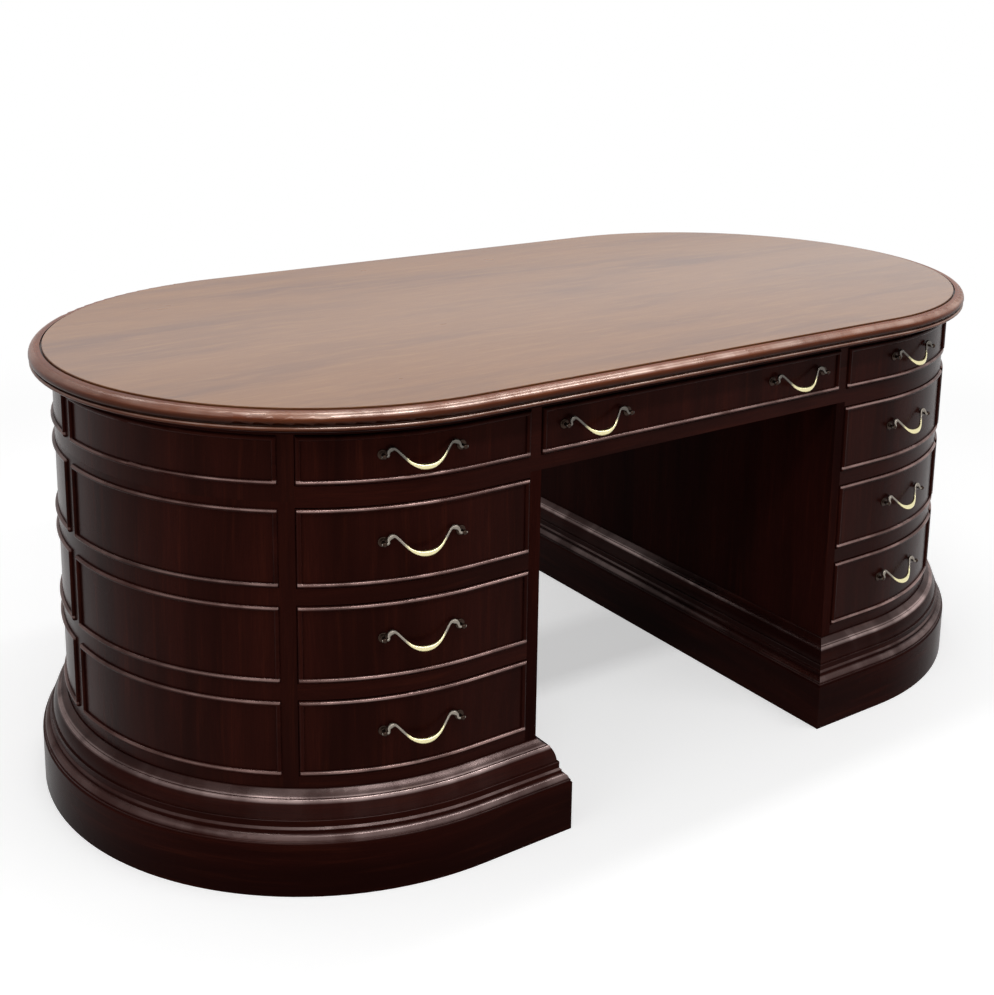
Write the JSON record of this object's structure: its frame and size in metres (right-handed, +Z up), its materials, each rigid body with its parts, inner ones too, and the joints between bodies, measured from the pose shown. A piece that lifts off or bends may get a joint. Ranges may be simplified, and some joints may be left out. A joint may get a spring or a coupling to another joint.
{
  "type": "captains desk",
  "caption": "Double-pedestal writing desk with half-round ends, beaded drawer fronts that slide out on runners, swinging brass swan-neck bails and a moulded plinth.",
  "frame": {"origin": "on the floor under the middle of the top", "axes": "+X along the length to the sitter's right, +Y from the drawer side to the back, +Z up"},
  "size_m": [1.968, 1.028, 0.78],
  "materials": {
    "mahogany_top": "high gloss",
    "mahogany_dark": "polished",
    "drawer_lining": "satin",
    "antique_brass": "antique"
  },
  "bodies": {
    "desk": {"top_board": "mahogany_top", "top_edge_moulding": "mahogany_top", "cove_moulding": "mahogany_dark", "frieze_panels": "mahogany_dark", "frieze_front_frame": "mahogany_dark", "frieze_bottom_board": "mahogany_dark", "frieze_partitions": "drawer_lining", "frieze_panel_beads": "mahogany_dark", "drawer_runners": "drawer_lining", "left_pedestal_shell": "mahogany_dark", "left_pedestal_inner_side": "mahogany_dark", "left_pedestal_front_frame": "mahogany_dark", "left_pedestal_boards": "drawer_lining", "left_pedestal_panel_beads": "mahogany_dark", "left_plinth_frame": "mahogany_dark", "left_plinth_moulding": "mahogany_dark", "right_pedestal_shell": "mahogany_dark", "right_pedestal_inner_side": "mahogany_dark", "right_pedestal_front_frame": "mahogany_dark", "right_pedestal_boards": "drawer_lining", "right_pedestal_panel_beads": "mahogany_dark", "right_plinth_frame": "mahogany_dark", "right_plinth_moulding": "mahogany_dark"},
    "left_lower_drawer": {"left_lower_drawer_front": "mahogany_dark", "left_lower_drawer_box": "drawer_lining", "left_lower_drawer_posts": "antique_brass"},
    "left_lower_drawer_bail": {"left_lower_drawer_bail": "antique_brass"},
    "left_middle_drawer": {"left_middle_drawer_front": "mahogany_dark", "left_middle_drawer_box": "drawer_lining", "left_middle_drawer_posts": "antique_brass"},
    "left_middle_drawer_bail": {"left_middle_drawer_bail": "antique_brass"},
    "left_upper_drawer": {"left_upper_drawer_front": "mahogany_dark", "left_upper_drawer_box": "drawer_lining", "left_upper_drawer_posts": "antique_brass"},
    "left_upper_drawer_bail": {"left_upper_drawer_bail": "antique_brass"},
    "left_frieze_drawer": {"left_frieze_drawer_front": "mahogany_dark", "left_frieze_drawer_box": "drawer_lining", "left_frieze_drawer_posts": "antique_brass"},
    "left_frieze_drawer_bail": {"left_frieze_drawer_bail": "antique_brass"},
    "right_lower_drawer": {"right_lower_drawer_front": "mahogany_dark", "right_lower_drawer_box": "drawer_lining", "right_lower_drawer_posts": "antique_brass"},
    "right_lower_drawer_bail": {"right_lower_drawer_bail": "antique_brass"},
    "right_middle_drawer": {"right_middle_drawer_front": "mahogany_dark", "right_middle_drawer_box": "drawer_lining", "right_middle_drawer_posts": "antique_brass"},
    "right_middle_drawer_bail": {"right_middle_drawer_bail": "antique_brass"},
    "right_upper_drawer": {"right_upper_drawer_front": "mahogany_dark", "right_upper_drawer_box": "drawer_lining", "right_upper_drawer_posts": "antique_brass"},
    "right_upper_drawer_bail": {"right_upper_drawer_bail": "antique_brass"},
    "right_frieze_drawer": {"right_frieze_drawer_front": "mahogany_dark", "right_frieze_drawer_box": "drawer_lining", "right_frieze_drawer_posts": "antique_brass"},
    "right_frieze_drawer_bail": {"right_frieze_drawer_bail": "antique_brass"},
    "centre_drawer": {"centre_drawer_front": "mahogany_dark", "centre_drawer_box": "drawer_lining", "centre_drawer_posts": "antique_brass"},
    "centre_drawer_bail_left": {"centre_drawer_bail_left": "antique_brass"},
    "centre_drawer_bail_right": {"centre_drawer_bail_right": "antique_brass"}
  },
  "joints": [
    {"name": "left_lower_drawer_slide", "type": "slide", "parent": "desk", "child": "left_lower_drawer", "axis": [0, -1, 0], "range_m": [0, 0.4]},
    {"name": "left_lower_drawer_bail_swing", "type": "hinge", "parent": "left_lower_drawer", "child": "left_lower_drawer_bail", "pos_m": [-0.55722, -0.46854, 0.249], "axis": [-0.9831, 0.183, 0], "range_deg": [-31, 5]},
    {"name": "left_middle_drawer_slide", "type": "slide", "parent": "desk", "child": "left_middle_drawer", "axis": [0, -1, 0], "range_m": [0, 0.4]},
    {"name": "left_middle_drawer_bail_swing", "type": "hinge", "parent": "left_middle_drawer", "child": "left_middle_drawer_bail", "pos_m": [-0.55722, -0.46854, 0.405], "axis": [-0.9831, 0.183, 0], "range_deg": [-31, 5]},
    {"name": "left_upper_drawer_slide", "type": "slide", "parent": "desk", "child": "left_upper_drawer", "axis": [0, -1, 0], "range_m": [0, 0.4]},
    {"name": "left_upper_drawer_bail_swing", "type": "hinge", "parent": "left_upper_drawer", "child": "left_upper_drawer_bail", "pos_m": [-0.55722, -0.46854, 0.561], "axis": [-0.9831, 0.183, 0], "range_deg": [-31, 5]},
    {"name": "left_frieze_drawer_slide", "type": "slide", "parent": "desk", "child": "left_frieze_drawer", "axis": [0, -1, 0], "range_m": [0, 0.4]},
    {"name": "left_frieze_drawer_bail_swing", "type": "hinge", "parent": "left_frieze_drawer", "child": "left_frieze_drawer_bail", "pos_m": [-0.55722, -0.46854, 0.6995], "axis": [-0.9831, 0.183, 0], "range_deg": [-31, 5]},
    {"name": "right_lower_drawer_slide", "type": "slide", "parent": "desk", "child": "right_lower_drawer", "axis": [0, -1, 0], "range_m": [0, 0.4]},
    {"name": "right_lower_drawer_bail_swing", "type": "hinge", "parent": "right_lower_drawer", "child": "right_lower_drawer_bail", "pos_m": [0.55722, -0.46854, 0.249], "axis": [-0.9831, -0.183, 0], "range_deg": [-31, 5]},
    {"name": "right_middle_drawer_slide", "type": "slide", "parent": "desk", "child": "right_middle_drawer", "axis": [0, -1, 0], "range_m": [0, 0.4]},
    {"name": "right_middle_drawer_bail_swing", "type": "hinge", "parent": "right_middle_drawer", "child": "right_middle_drawer_bail", "pos_m": [0.55722, -0.46854, 0.405], "axis": [-0.9831, -0.183, 0], "range_deg": [-31, 5]},
    {"name": "right_upper_drawer_slide", "type": "slide", "parent": "desk", "child": "right_upper_drawer", "axis": [0, -1, 0], "range_m": [0, 0.4]},
    {"name": "right_upper_drawer_bail_swing", "type": "hinge", "parent": "right_upper_drawer", "child": "right_upper_drawer_bail", "pos_m": [0.55722, -0.46854, 0.561], "axis": [-0.9831, -0.183, 0], "range_deg": [-31, 5]},
    {"name": "right_frieze_drawer_slide", "type": "slide", "parent": "desk", "child": "right_frieze_drawer", "axis": [0, -1, 0], "range_m": [0, 0.4]},
    {"name": "right_frieze_drawer_bail_swing", "type": "hinge", "parent": "right_frieze_drawer", "child": "right_frieze_drawer_bail", "pos_m": [0.55722, -0.46854, 0.6995], "axis": [-0.9831, -0.183, 0], "range_deg": [-31, 5]},
    {"name": "centre_drawer_slide", "type": "slide", "parent": "desk", "child": "centre_drawer", "axis": [0, -1, 0], "range_m": [0, 0.33]},
    {"name": "centre_drawer_bail_left_swing", "type": "hinge", "parent": "centre_drawer", "child": "centre_drawer_bail_left", "pos_m": [-0.232, -0.481, 0.6995], "axis": [-1, 0, 0], "range_deg": [-31, 5]},
    {"name": "centre_drawer_bail_right_swing", "type": "hinge", "parent": "centre_drawer", "child": "centre_drawer_bail_right", "pos_m": [0.232, -0.481, 0.6995], "axis": [-1, 0, 0], "range_deg": [-31, 5]}
  ]
}
